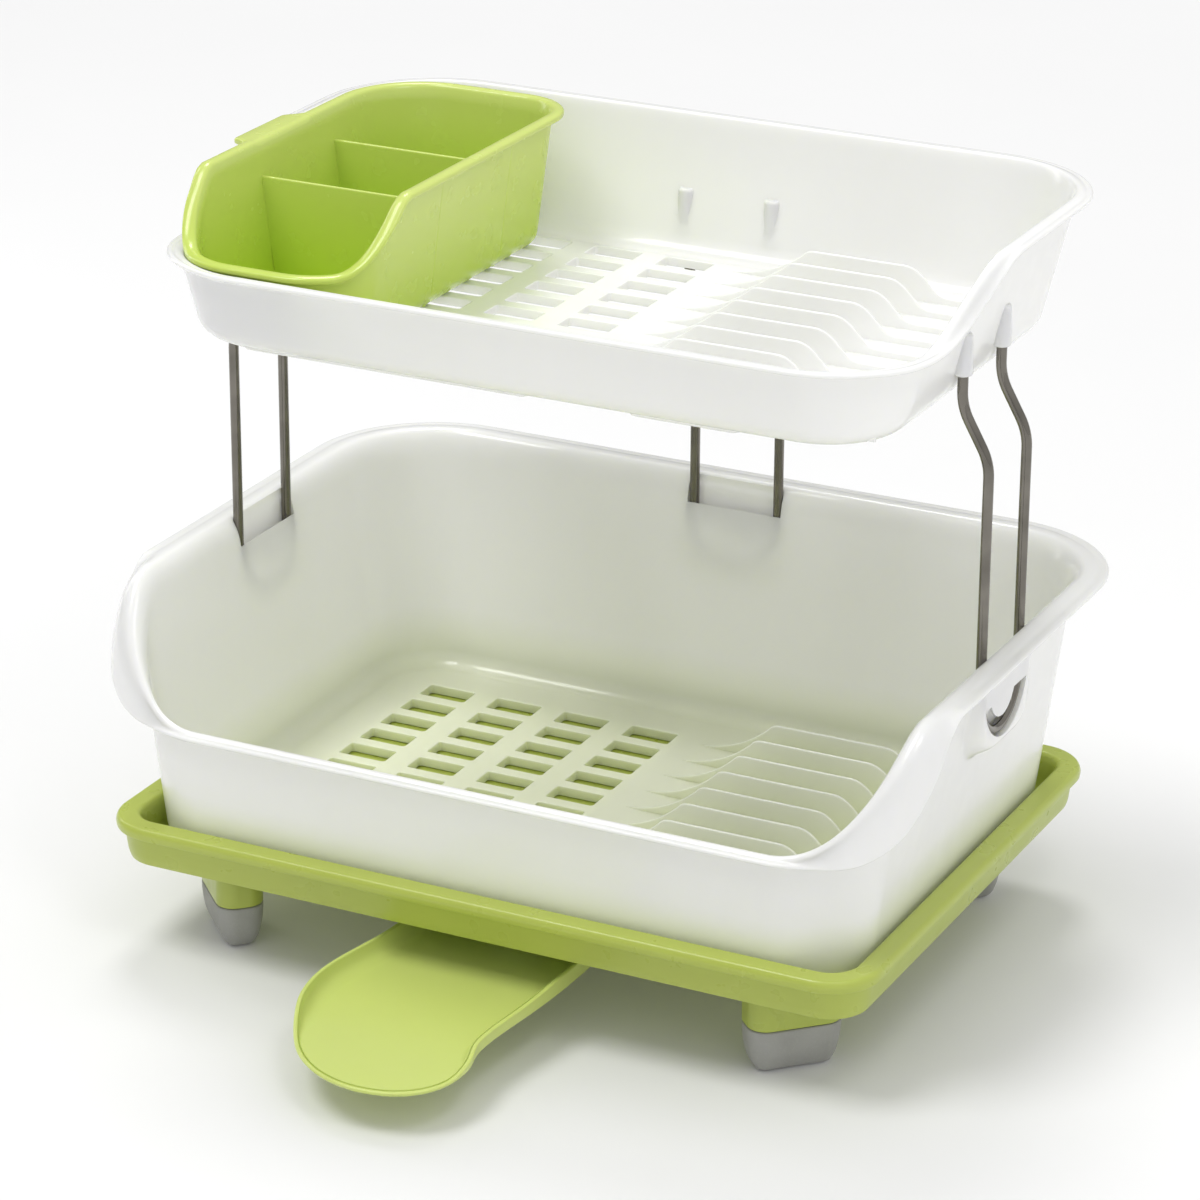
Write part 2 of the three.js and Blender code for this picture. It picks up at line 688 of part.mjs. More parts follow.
function cutleryHolder() {
  const shell = ringBody(HOLDER.ring, holderProfile, { corner: 5, side: 5 });
  const [front, back] = HOLDER.dividers;
  const { centreX, centreY, halfY } = HOLDER.ring;
  const rooms = [[centreY - halfY, front], [front, back], [back, centreY + halfY]];
  const drains = rooms.flatMap(([from, to]) => [-30, -10, 10, 30].map((x) => solid(box(
    [centreX + x - 3, from + 16, HOLDER.underside - 5],
    [centreX + x + 3, to - 16, HOLDER.floorTop + 5],
  ))));
  const body = join(shell, holderHook(), ...HOLDER.dividers.map(holderDivider))
    .subtract(join(...drains));
  return piece('cutlery_holder', geometryOf(body), GREEN);
}

// ---------------------------------------------------------------- assembly

const rack = new THREE.Group();
rack.name = 'dish_drying_rack';
rack.add(
  dripTray(),
  ...CORNERS.map(footCap),
  drainNut(),
  swivelSpout(),
  lowerBasket(),
  ...STATIONS.map(wireSupport),
  upperBasket(),
  cutleryHolder(),
);

// The origin goes to the middle of the footprint.
const bounds = new THREE.Box3().setFromObject(rack, true);
const middle = bounds.getCenter(new THREE.Vector3());
rack.position.set(-middle.x, -middle.y, -bounds.min.z);

export default rack;
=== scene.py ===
"""Looks of the two-tier dish drying rack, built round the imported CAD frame.

Shapes are written in millimetres with the origin on the counter under the middle of the drip tray, +X to
the right, -Y towards the user and +Z up. mesh_object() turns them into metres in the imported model's frame.
"""

import math

import bmesh
import bpy
import numpy as np
from mathutils import Matrix, Vector


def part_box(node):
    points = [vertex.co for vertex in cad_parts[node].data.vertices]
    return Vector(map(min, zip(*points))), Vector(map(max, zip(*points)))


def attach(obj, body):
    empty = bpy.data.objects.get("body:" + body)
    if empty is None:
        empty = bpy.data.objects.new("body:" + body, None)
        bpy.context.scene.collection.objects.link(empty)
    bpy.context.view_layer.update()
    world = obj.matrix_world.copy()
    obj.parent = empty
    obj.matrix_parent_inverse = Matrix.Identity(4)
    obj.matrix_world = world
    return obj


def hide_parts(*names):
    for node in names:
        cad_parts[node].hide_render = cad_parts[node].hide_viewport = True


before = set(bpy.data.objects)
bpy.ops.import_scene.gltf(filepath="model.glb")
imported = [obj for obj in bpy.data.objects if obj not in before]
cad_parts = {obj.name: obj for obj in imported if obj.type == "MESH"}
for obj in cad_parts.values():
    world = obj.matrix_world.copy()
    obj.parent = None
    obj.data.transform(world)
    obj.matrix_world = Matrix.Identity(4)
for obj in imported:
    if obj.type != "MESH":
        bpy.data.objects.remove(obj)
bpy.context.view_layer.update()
TRAY_LOW, TRAY_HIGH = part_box("drip_tray")
MIDDLE = (TRAY_LOW + TRAY_HIGH) / 2

# ---------------------------------------------------------------- dimensions

WALL = 2.5
WIRE_RADIUS = 3
LEG_SPACING = 56
BEND_BOTTOM = 158.7
BEND_MIDDLE = BEND_BOTTOM + LEG_SPACING / 2
JOGGLE = 17                         # how far a support's legs step inwards, between these two heights
JOGGLE_FROM, JOGGLE_TO = 325, 355
JOGGLE_BEND = 9                     # how far from a corner of that step the wire starts to bend
WIRE_TOP = 394

# Where each wire support stands, and the direction that faces out of the rack there.
STATIONS = {
    "right": {"x": 238, "y": 15, "turn": 0},
    "back": {"x": 0, "y": 178, "turn": math.pi / 2},
    "left": {"x": -238, "y": 15, "turn": math.pi},
}

TRAY = {"half": (224.9, 161.8), "radius": 16, "underside": 52.8, "floor": 55.5, "rim": 79, "reach": 15}
LEG = {"x": 179, "y": 127.5, "half": (27.5, 14), "corner": 11, "cap_top": 26.7}
PEG = {"half": (20, 7), "corner": 5, "bottom": 10}
DRAIN = {"y": -105, "bore": 10, "nozzle": 13, "bottom": 38}

# A basket or the holder has its "half" size and "centre" at the height "sized_at", and its walls spread by
# "draft" millimetres for each one up. "rise" is where its rim climbs from the low front to the sides, in y.
LOWER = {
    "half": (222.5, 160), "radius": 45, "centre": (0, 0), "sized_at": 75, "draft": 0.123, "lean": 0.02,
    "floor": 62, "underside": 59.3, "fillet": 10,
    "front": {"rim": 139.5, "reach": 5, "drop": 7},
    "side": {"rim": 211, "reach": 20.7, "drop": 16},
    "rise": (-180, -108), "lag": 20,
    "column_right": -10.5, "panel": 55.8,
    "rib": {"foot": 8, "shoulder": 57, "edge": 137, "wall": 212, "top": 85},
}
UPPER = {
    "half": (217.5, 140.5), "radius": 50, "centre": (0, 17), "sized_at": 373, "draft": 0.245, "lean": 0,
    "floor": 360, "underside": 357.3, "fillet": 10,
    "front": {"rim": 404, "reach": 5, "drop": 7},
    "side": {"rim": 440, "reach": 10.5, "drop": 12},
    "rise": (-80, 8), "lag": 12,
    "column_right": 1, "panel": 354.5,
    "rib": {"foot": 17, "shoulder": 65, "edge": 133, "wall": 206, "top": 380},
}
GRID = {"columns": 4, "pitch": 46.8, "length": 31, "rows": 10, "row_pitch": 25.3, "width": 16.5}
RIB_DRAIN = {"from": 70, "to": 128, "width": 9}
# "cover" is from a wire's centre line to the pocket's outer face, "ledge" is where the legs come out, and
# "window" is the top of the opening on the U-bend, above which a round "tongue" hangs down.
POCKET = {"half": 38, "bottom": 150, "cover": 4.8, "clearance": 0.3, "ledge": 193, "fade": (199, 207),
          "window": 179.5, "tongue": 18, "tongue_shift": -5, "fine": (45, 1.5)}
SOCKET = {"mouth": 373, "top": 397, "radius": 5.2, "top_radius": 4.6, "bore": 3.4}
HOLDER = {          # corner radii: right back, left back, left front and right front
    "half": (52, 123.6), "radius": (20, 36, 36, 36), "centre": (-158, 10), "sized_at": 365, "draft": 0.125,
    "underside": 360.3, "floor": 362.8, "fillet": 9, "front": 407.5, "high": 445, "rise": (-106, -62),
    "dividers": (-14, 70), "divider_top": 425,
}
HOOK = {"from": -13, "to": 43}      # stretch of the holder's left rim that hangs over the basket's rim
SPOUT = {           # the wall's height changes over to_left in -x, and over to_tray and from_tip in y
    "rear": 56, "floor": 30, "wall_top": 41, "right_top": 38.5, "left_top": 42.5, "lip": 33.2, "slope": 0.035,
    "fillet": 10, "to_left": (-20, 40), "to_tray": (-105, -45), "from_tip": (-178, -136),
    "sides": [      # plan: down the left side, round the tip and up the right side
        ((-56, -32), (-58, -46), (-61, -62)),
        ((-66, -85), (-71, -98), (-70, -118)),
        ((-68, -140), (-60, -158), (-51, -171)),
        ((-38, -190), (-18, -202), (4, -202)),
        ((26, -202), (49, -190), (49, -160)),
        ((49, -146), (44.5, -146), (45, -130)),
        ((46, -100), (56, -80), (56, 0)),
    ],
}
DECK = {"bottom": 45.5, "top": 48.5, "hole": 13.4, "front": -22}
NUT = {"bottom": 39.6, "outer": 19, "waves": 24}
CAMERA = {
    "place": (1077.0, -2171.4, 1174.6), "azimuth": 26.46, "elevation": 21.98, "roll": 0.30, "lens": 135.94,
}

FILLET_ROWS = 8

# ---------------------------------------------------------------- numbers and outlines


def lerp(a, b, t):
    return a + (b - a) * t


def smooth(value, start, stop):
    t = np.clip((value - start) / (stop - start), 0, 1)
    return t * t * (3 - 2 * t)


def bezier(points, count):
    """Points on a quadratic or cubic curve, without the first one."""
    points = [np.array(p, float) for p in points]
    result = []
    for i in range(1, count + 1):
        level = points
        t = i / count
        while len(level) > 1:
            level = [lerp(a, b, t) for a, b in zip(level, level[1:])]
        result.append(level[0])
    return result


def rounded(corners, count=4):
    """A line through (x, z, radius) corners, each one rounded where its radius allows."""
    result = []
    for i, (x, z, radius) in enumerate(corners):
        here = np.array((x, z), float)
        if radius == 0 or i in (0, len(corners) - 1):
            result.append(here)
            continue
        before = np.array(corners[i - 1][:2], float) - here
        after = np.array(corners[i + 1][:2], float) - here
        cut = min(radius, 0.48 * np.linalg.norm(before), 0.48 * np.linalg.norm(after))
        start = here + before / np.linalg.norm(before) * cut
        stop = here + after / np.linalg.norm(after) * cut
        result += [start, *bezier([start, here, stop], count)]
    return result


def spread(start, stop, pitch, fine=()):
    """Places strictly between two ends, closer together inside the fine (from, to, pitch) ranges."""
    low, high = min(start, stop), max(start, stop)
    places = list(np.linspace(low, high, max(1, round((high - low) / pitch)) + 1)[1:-1])
    for begin, end, step in fine:
        if begin > low and end < high:
            places = [p for p in places if not begin - step < p < end + step]
            places += list(np.arange(begin, end + step / 2, step))
    places.sort(reverse=start > stop)
    return places


def rounded_rectangle(half, radius, centre=(0, 0), corner=16, pitch=6, fine_x=(), fine_y=()):
    """Anticlockwise outline: rows of x, y and the outward direction's x and y.

    Corners may differ in radius, and points lie closer together inside the fine (from, to, pitch) ranges.
    """
    (half_x, half_y), (cx, cy) = half, centre
    radii = radius if isinstance(radius, tuple) else (radius,) * 4
    rows = []
    for quarter in range(4):
        sx = 1 if quarter in (0, 3) else -1
        sy = 1 if quarter < 2 else -1
        radius, after = radii[quarter], radii[(quarter + 1) % 4]
        for i in range(corner + 1):
            angle = (quarter + i / corner) * math.pi / 2
            nx, ny = math.cos(angle), math.sin(angle)
            x = cx + sx * (half_x - radius) + radius * nx
            y = cy + sy * (half_y - radius) + radius * ny
            rows.append((x, y, nx, ny))
        if quarter in (0, 2):
            ends = (sx * (half_x - radius) + cx, -sx * (half_x - after) + cx)
            rows += [(x, cy + sy * half_y, 0, sy) for x in spread(*ends, pitch, fine_x)]
        else:
            ends = (sy * (half_y - radius) + cy, -sy * (half_y - after) + cy)
            rows += [(cx + sx * half_x, y, sx, 0) for y in spread(*ends, pitch, fine_y)]
    return np.array(rows, float)


def outline_rows(outline, profile, lean=None):
    """One loop of points for each (offset, height) of a profile, which may vary round the outline."""
    loops = []
    for offset, height in profile:
        height = np.broadcast_to(np.asarray(height, float), outline.shape[:1])
        x = outline[:, 0] + outline[:, 2] * offset
        y = outline[:, 1] + outline[:, 3] * offset
        if lean:
            y = y + lean(height)
        loops.append(np.stack([x, y, height], 1))
    return np.array(loops)


# ---------------------------------------------------------------- meshes


def mesh_object(name, vertices, faces):
    points = np.asarray(vertices, float) * 0.001 + np.array((MIDDLE.x, MIDDLE.y, 0))
    mesh = bpy.data.meshes.new(name)
    mesh.from_pydata([tuple(p) for p in points], [], faces)
    obj = bpy.data.objects.new(name, mesh)
    bpy.context.scene.collection.objects.link(obj)
    return obj


def turn_outwards(obj):
    edit = bmesh.new()
    edit.from_mesh(obj.data)
    bmesh.ops.recalc_face_normals(edit, faces=edit.faces)
    edit.to_mesh(obj.data)
    edit.free()
    return obj


def loft(name, loops):
    """Closed body through loops of the same number of points, with flat ends."""
    loops = np.asarray(loops, float)
    rows, count = loops.shape[:2]
    faces = [tuple(range(count))[::-1], tuple(range((rows - 1) * count, rows * count))]
    for i in range(rows - 1):
        for j in range(count):
            k = (j + 1) % count
            faces.append((i * count + j, i * count + k, (i + 1) * count + k, (i + 1) * count + j))
    return turn_outwards(mesh_object(name, loops.reshape(-1, 3), faces))


def joined(name, objects):
    """Several separate bodies as one mesh."""
    edit = bmesh.new()
    for obj in objects:
        edit.from_mesh(obj.data)
        bpy.data.objects.remove(obj)
    mesh = bpy.data.meshes.new(name)
    edit.to_mesh(mesh)
    edit.free()
    obj = bpy.data.objects.new(name, mesh)
    bpy.context.scene.collection.objects.link(obj)
    return obj


def combine(obj, *steps):
    """Adds ("UNION") or cuts ("DIFFERENCE") other closed bodies, in that order."""
    for operation, other in steps:
        modifier = obj.modifiers.new("combine", "BOOLEAN")
        modifier.operation = operation
        modifier.solver = "MANIFOLD"
        modifier.object = other
    bpy.context.view_layer.update()
    graph = bpy.context.evaluated_depsgraph_get()
    mesh = bpy.data.meshes.new_from_object(obj.evaluated_get(graph))
    obj.modifiers.clear()
    obj.data = mesh
    for _, other in steps:
        bpy.data.objects.remove(other)
    return obj


def plate(name, plan, heights, insets=None):
    """Upright body on a plan outline; insets[i] draws the section at heights[i] in or out."""
    insets = insets or [0] * len(heights)
    return loft(name, outline_rows(plan, [(-inset, height) for inset, height in zip(insets, heights)]))


def block(name, low, high, radius):
    """Rounded-corner box between two corners."""
    half = ((high[0] - low[0]) / 2, (high[1] - low[1]) / 2)
    centre = ((high[0] + low[0]) / 2, (high[1] + low[1]) / 2)
    plan = rounded_rectangle(half, radius, centre, corner=4, pitch=1000)
    return plate(name, plan, [low[2], high[2]])


def slot_cutter(name, centre, half, radius, bottom, top, flare=0.7):
    """Through slot between two faces of a floor, with rounded edges at both of them."""
    plan = rounded_rectangle(half, radius, centre, corner=4, pitch=1000)
    arc = [(flare * (1 - math.sin(a)), flare * (1 - math.cos(a))) for a in np.linspace(0, math.pi / 2, 4)]
    heights = [bottom - 2, bottom] + [bottom + up for _, up in arc[1:]]
    insets = [-flare, -flare] + [-out for out, _ in arc[1:]]
    return plate(name, plan, heights + [bottom + top - h for h in reversed(heights)],
                 insets + insets[::-1])


def lathe(name, x, y, profile, sides=48):
    angles = np.linspace(0, 2 * math.pi, sides, endpoint=False)
    loops = [[(x + r * math.cos(a), y + r * math.sin(a), z) for a in angles] for r, z in profile]
    return loft(name, loops)


def post(name, x, y, bottom, top, radius, sides=40):
    return lathe(name, x, y, [(radius, bottom), (radius, top)], sides)


def turned(obj, angle, x, y):
    """Turns a body about the origin's upright axis, then carries it to (x, y)."""
    obj.data.transform(Matrix.Translation((-MIDDLE.x, -MIDDLE.y, 0)))
    obj.data.transform(Matrix.Rotation(angle, 4, "Z"))
    obj.data.transform(Matrix.Translation((MIDDLE.x + x * 0.001, MIDDLE.y + y * 0.001, 0)))
    return obj


def at_station(obj, station):
    return turned(obj, station["turn"], station["x"], station["y"])


def extruded(name, outline, low, high):
    """Flat outline in y and z, swept along x."""
    return loft(name, [[(x, y, z) for y, z in outline] for x in (low, high)])


def wall_offset(spec, height):
    """How far out a drafted wall is at a height, from its outline."""
    return spec["draft"] * (height - spec["sized_at"])


def lean_at(spec, height):
    """How far back a basket leans at a height."""
    return spec["lean"] * (height - spec["sized_at"])


def wall_rows(spec, start, stop, places, inwards):
    """Profile rows up a wall, at fractions of the way from start to stop."""
    heights = [lerp(start, stop, t) for t in places]
    return [(wall_offset(spec, height) - inwards, height) for height in heights]


def bottom_edge(spec, base, inwards):
    """Rounded profile rows from a floor or underside up into the wall."""
    fillet = spec["fillet"]
    rows = []
    for angle in np.linspace(0, math.pi / 2, FILLET_ROWS):
        height = base + fillet * (1 - math.cos(angle))
        rows.append((wall_offset(spec, height) - inwards - fillet * (1 - math.sin(angle)), height))
    return rows


# ---------------------------------------------------------------- materials


def node(tree, kind, **values):
    made = tree.nodes.new(kind)
    for key, value in values.items():
        if key in made.inputs:
            made.inputs[key].default_value = value
        else:
            setattr(made, key, value)
    return made


def noise(tree, coordinates, scale, detail=2.0, stretch=None):
    made = node(tree, "ShaderNodeTexNoise", Scale=scale, Detail=detail)
    source = coordinates.outputs["Object"]
    if stretch:
        mapping = node(tree, "ShaderNodeMapping", Scale=stretch)
        tree.links.new(source, mapping.inputs["Vector"])
        source = mapping.outputs["Vector"]
    tree.links.new(source, made.inputs["Vector"])
    return made.outputs["Fac"]


def ranged(tree, source, low, high, start=0.3, stop=0.7, interpolation="LINEAR"):
    """Maps start to stop (the middle of a noise, unless given) onto low to high."""
    made = node(tree, "ShaderNodeMapRange", interpolation_type=interpolation)
    for key, value in zip(("From Min", "From Max", "To Min", "To Max"), (start, stop, low, high)):
        made.inputs[key].default_value = value
    tree.links.new(source, made.inputs["Value"])
    return made.outputs["Result"]


def blended(tree, factor, first, second):
    made = node(tree, "ShaderNodeMix", data_type="RGBA")
    tree.links.new(factor, made.inputs[0])
    for socket, colour in zip((made.inputs[6], made.inputs[7]), (first, second)):
        if isinstance(colour, tuple):
            socket.default_value = (*colour, 1)
        else:
            tree.links.new(colour, socket)
    return made.outputs[2]


def bumps(tree, layers):
    """Stacks bump maps: (height source, depth in metres, strength)."""
    normal = None
    for source, distance, strength in layers:
        made = node(tree, "ShaderNodeBump", Distance=distance, Strength=strength)
        tree.links.new(source, made.inputs["Height"])
        if normal:
            tree.links.new(normal, made.inputs["Normal"])
        normal = made.outputs["Normal"]
    return normal


def shader_of(material, **values):
    made = material.node_tree.nodes["Principled BSDF"]
    for key, value in values.items():
        made.inputs[key.replace("_", " ")].default_value = value
    return made


def new_material(name):
    material = bpy.data.materials.new(name)
    material.use_nodes = True
    tree = material.node_tree
    return material, tree, node(tree, "ShaderNodeTexCoord")


def moulded_plastic(name, colour, shade, roughness, subsurface, radius, coat=0.0, reach=0.006, glow=None):
    """Injection-moulded polypropylene: faint flow variation, satin sheen, fine orange peel and grain.

    glow is (low z, high z, colour): a painted light tint by height, which the plastic takes at the low z and
    loses by the high one.
    """
    material, tree, coordinates = new_material(name)
    shader = shader_of(material, Roughness=roughness, IOR=1.49, Subsurface_Weight=subsurface,
                       Subsurface_Radius=radius, Subsurface_Scale=reach, Coat_Weight=coat,
                       Coat_Roughness=0.12)
    flow = noise(tree, coordinates, 14, 3, (1, 1, 0.35))
    cloud = noise(tree, coordinates, 70, 2)
    tone = blended(tree, ranged(tree, flow, 0, 1), colour, shade)
    # glow paints light and shade into the base colour by height.
    if glow:
        low, high, painted_light_colour = glow
        parts = node(tree, "ShaderNodeSeparateXYZ")
        tree.links.new(coordinates.outputs["Object"], parts.inputs["Vector"])
        tone = blended(tree, ranged(tree, parts.outputs["Z"], 1, 0, low, high), tone, painted_light_colour)
    tree.links.new(tone, shader.inputs["Base Color"])
    tree.links.new(ranged(tree, cloud, roughness - 0.04, roughness + 0.05), shader.inputs["Roughness"])
    peel = noise(tree, coordinates, 260, 2)
    grain = noise(tree, coordinates, 2600, 1)
    tree.links.new(bumps(tree, [(peel, 0.00002, 0.12), (grain, 0.000004, 0.2)]), shader.inputs["Normal"])
    return material


def green_plastic(name, colour, shade, roughness, coat, glow=None):
    return moulded_plastic(name, colour, shade, roughness, 0.12, (0.8, 1.0, 0.4), coat, 0.004, glow)


def rubber():
    """Matt grey rubber with fine light specks."""
    material, tree, coordinates = new_material("grey_rubber")
    shader = shader_of(material, Roughness=0.62, IOR=1.5, Sheen_Weight=0.15, Sheen_Roughness=0.5)
    speckle = noise(tree, coordinates, 900, 3)
    cloud = noise(tree, coordinates, 45, 3)
    tone = blended(tree, ranged(tree, cloud, 0, 1), (0.37, 0.37, 0.35), (0.32, 0.32, 0.30))
    dusted = blended(tree, ranged(tree, speckle, 0, 0.35, 0.5, 0.75), tone, (0.43, 0.43, 0.41))
    tree.links.new(dusted, shader.inputs["Base Color"])
    tree.links.new(ranged(tree, cloud, 0.55, 0.7), shader.inputs["Roughness"])
    fine = noise(tree, coordinates, 1700, 2)
    tree.links.new(bumps(tree, [(speckle, 0.00012, 0.25), (fine, 0.00005, 0.2)]), shader.inputs["Normal"])
    return material


def steel():
    """Drawn and polished stainless rod: streaks run mostly up and down the legs."""
    material, tree, coordinates = new_material("support_steel")
    shader = shader_of(material, Metallic=1.0, Roughness=0.16)
    streak = noise(tree, coordinates, 900, 2, (1, 1, 0.02))
    cloud = noise(tree, coordinates, 60, 2)
    tone = blended(tree, ranged(tree, cloud, 0, 1), (0.22, 0.205, 0.18), (0.16, 0.15, 0.13))
    tree.links.new(tone, shader.inputs["Base Color"])
    tree.links.new(ranged(tree, streak, 0.06, 0.17), shader.inputs["Roughness"])
    tree.links.new(bumps(tree, [(streak, 0.00003, 0.18)]), shader.inputs["Normal"])
    return material


TRAY_GREEN = green_plastic("tray_green_plastic", (0.455, 0.53, 0.095), (0.44, 0.515, 0.09), 0.30, 0.1)
SPOUT_GREEN = green_plastic("spout_green_plastic", (0.60, 0.69, 0.19), (0.585, 0.675, 0.18), 0.32, 0.1)
# The holder's glow is painted shade: deeper green low in the holder, paler towards the rim where more light
# falls.
HOLDER_GREEN = green_plastic("holder_green_plastic", (0.63, 0.73, 0.19), (0.615, 0.715, 0.18), 0.24, 0.15,
                             (0.37, 0.445, (0.50, 0.665, 0.055)))
# The white's glow is painted light: a green tint on the lower basket's floor for light bounced up from the
# green tray.
WHITE = moulded_plastic("basket_white_plastic", (0.92, 0.92, 0.90), (0.90, 0.90, 0.875), 0.20, 0.5,
                        (1.0, 1.0, 0.8), 0.25, 0.008, (0.06, 0.10, (0.82, 0.86, 0.62)))
NUT_WHITE = moulded_plastic("nut_white_plastic", (0.78, 0.78, 0.76), (0.74, 0.74, 0.72), 0.35, 0.15,
                            (1.0, 1.0, 0.8))
RUBBER = rubber()
STEEL = steel()

SAME_POINT = 2e-6                   # metres
SHARP_ANGLE = math.radians(36)


def make_piece(obj, name, material, body, cad_node):
    """Smooths a finished mesh, gives it its material and ties it to the frame."""
    obj.name = name
    obj.data.name = name
    edit = bmesh.new()
    edit.from_mesh(obj.data)
    bmesh.ops.remove_doubles(edit, verts=edit.verts, dist=SAME_POINT)
    bmesh.ops.dissolve_degenerate(edit, edges=edit.edges, dist=SAME_POINT / 2)
    edit.to_mesh(obj.data)
    edit.free()
    obj.data.materials.clear()
    obj.data.materials.append(material)
    obj.data.polygons.foreach_set("use_smooth", [True] * len(obj.data.polygons))
    obj.data.set_sharp_from_angle(angle=SHARP_ANGLE)
    weighted = obj.modifiers.new("weighted_normals", "WEIGHTED_NORMAL")
    weighted.keep_sharp = True
    weighted.weight = 80
    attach(obj, body)
    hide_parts(cad_node)


# ---------------------------------------------------------------- drip tray, feet and drain nut

CORNERS = {"front_left": (-1, -1), "front_right": (1, -1), "back_left": (-1, 1), "back_right": (1, 1)}


def leg_body(half, corner, side, heights, insets=None):
    """Upright body under one corner of the tray, turned to face that corner."""
    side_x, side_y = side
    plan = rounded_rectangle(half, corner, corner=10, pitch=20)
    turn = -math.pi / 4 if side_x * side_y > 0 else math.pi / 4
    return turned(plate("leg", plan, heights, insets), turn, side_x * LEG["x"], side_y * LEG["y"])


def tray_profile():
    """Section of the tray's edge, from the underside round to the floor: (offset, height, corner radius)."""
    low, floor, rim, reach = TRAY["underside"], TRAY["floor"], TRAY["rim"], TRAY["reach"]
    return rounded([
        # underside and outside of the inner wall
        (-8, low, 0),
        (-2, low, 3),
        (-0.3, low + 4, 3),
        (1.8, rim - 3.2, 1),
        # hollow and outside of the skirt
        (7.4, rim - 3.2, 1),
        (5.4, low + 0.2, 0.5),
        (6.9, low, 1.2),
        (8.3, low + 4, 5),
        (10.0, rim - 8.6, 1.2),
        # flat rim, standing out over the skirt
        (reach - 0.5, rim - 7.3, 0.8),
        (reach, rim - 3.5, 1.5),
        (reach - 1.6, rim - 0.25, 2.6),
        (1.6, rim, 2.4),
        # inside of the wall and the floor
        (-0.4, rim - 4, 3),
        (-2.6, floor + 5, 4),
        (-7.5, floor, 4),
        (-14, floor, 0),
    ])


def drip_tray():
    plan = rounded_rectangle(TRAY["half"], TRAY["radius"], corner=14, pitch=12)
    body = loft("tray", outline_rows(plan, tray_profile()))
    cap = LEG["cap_top"] + 0.35
    heights, insets = [cap, cap + 0.25, cap + 0.8, TRAY["underside"] + 1], [0.8, 0.3, 0.0, -0.2]
    peg_heights = [PEG["bottom"], LEG["cap_top"] + 1]
    steps = []
    for side in CORNERS.values():
        steps.append(("UNION", leg_body(LEG["half"], LEG["corner"], side, heights, insets)))
        steps.append(("UNION", leg_body(PEG["half"], PEG["corner"], side, peg_heights)))
    outer, inner, bottom, floor = DRAIN["nozzle"], DRAIN["bore"], DRAIN["bottom"], TRAY["floor"]
    nozzle = lathe("nozzle", 0, DRAIN["y"], [
        (outer - 0.8, bottom), (outer, bottom + 0.8), (outer, TRAY["underside"] + 1)])
    bore = lathe("bore", 0, DRAIN["y"], [
        (inner + 0.8, bottom - 4), (inner + 0.8, bottom - 0.01), (inner, bottom + 0.8), (inner, floor - 1.8),
        (inner + 0.7, floor - 0.7), (inner + 2.6, floor + 0.01), (inner + 2.6, floor + 4)])
    combine(body, *steps, ("UNION", nozzle), ("DIFFERENCE", bore))
    make_piece(body, "tray_moulding", TRAY_GREEN, "tray", "drip_tray")


def foot_cap(name, side):
    """Rubber cap with a rounded foot, hollow for the peg."""
    inset = 8.5         # how much smaller the sole is than the top, on each side
    top = LEG["cap_top"]
    angles = np.linspace(0.2, math.pi / 2, 12)
    heights = [0, 0.35] + [top * (1 - math.cos(a)) for a in angles[1:-1]] + [top - 0.6, top]
    insets = [inset, inset - 1.1] + [inset * (1 - math.sin(a)) for a in angles[1:-1]] + [0.02, 0.5]
    body = leg_body(LEG["half"], LEG["corner"], side, heights, insets)
    gap = 0.3
    room = leg_body((PEG["half"][0] + gap, PEG["half"][1] + gap), PEG["corner"] + gap, side,
                    [PEG["bottom"] - gap, 40])
    combine(body, ("DIFFERENCE", room))
    make_piece(body, f"foot_cap_{name}", RUBBER, "tray", f"foot_{name}")


def drain_nut():
    """Ring nut with a wavy grip."""
    angles = np.linspace(0, 2 * math.pi, 144, endpoint=False)
    wave = 0.55 * (1 + np.cos(NUT["waves"] * angles)) - 0.2
    low, top = NUT["bottom"], DECK["bottom"] - 0.3
    loops = []
    for height, inset, depth in ((low, 1.3, 0), (low + 0.8, 0.4, 0.6), (low + 1.3, 0, 1),
                                 (top - 1.6, 0, 1), (top - 1.2, 0.2, 0), (top, 0.2, 0)):
        radius = NUT["outer"] - inset - depth * wave
        loops.append(np.stack([radius * np.cos(angles), DRAIN["y"] + radius * np.sin(angles),
                               np.full_like(angles, height)], 1))
    body = loft("nut", loops)
    hole = post("hole", 0, DRAIN["y"], low - 4, DECK["top"], DRAIN["nozzle"] + 0.6)
    combine(body, ("DIFFERENCE", hole))
    make_piece(body, "drain_ring_nut", NUT_WHITE, "tray", "drain_nut")


# ---------------------------------------------------------------- spout


def spout_outline():
    """Plan of the spout about the drain's axis, with its outward directions."""
    rear = SPOUT["rear"]
    points = [np.array((rear * math.cos(a), rear * math.sin(a))) for a in np.linspace(0, math.pi, 33)]
    for ends, count in zip(SPOUT["sides"], (16, 22, 22, 26, 12, 18, 16)):
        points += bezier([points[-1], *ends], count)
    points = np.array(points[:-1])
    along = np.roll(points, -1, 0) - np.roll(points, 1, 0)
    along /= np.linalg.norm(along, axis=1)[:, None]
    return np.column_stack([points, along[:, 1], -along[:, 0]])


def spout_wall_top(x, y):
    """Height of the wall's top: a low lip round the tip, rising along the sides, and highest on the left."""
    left = smooth(-x, *SPOUT["to_left"])
    beside_tip = lerp(SPOUT["right_top"], SPOUT["left_top"], left)
    under_tray = lerp(SPOUT["wall_top"], SPOUT["left_top"], left)
    side = lerp(beside_tip, under_tray, smooth(y, *SPOUT["to_tray"]))
    return lerp(SPOUT["lip"], side, smooth(y, *SPOUT["from_tip"]))


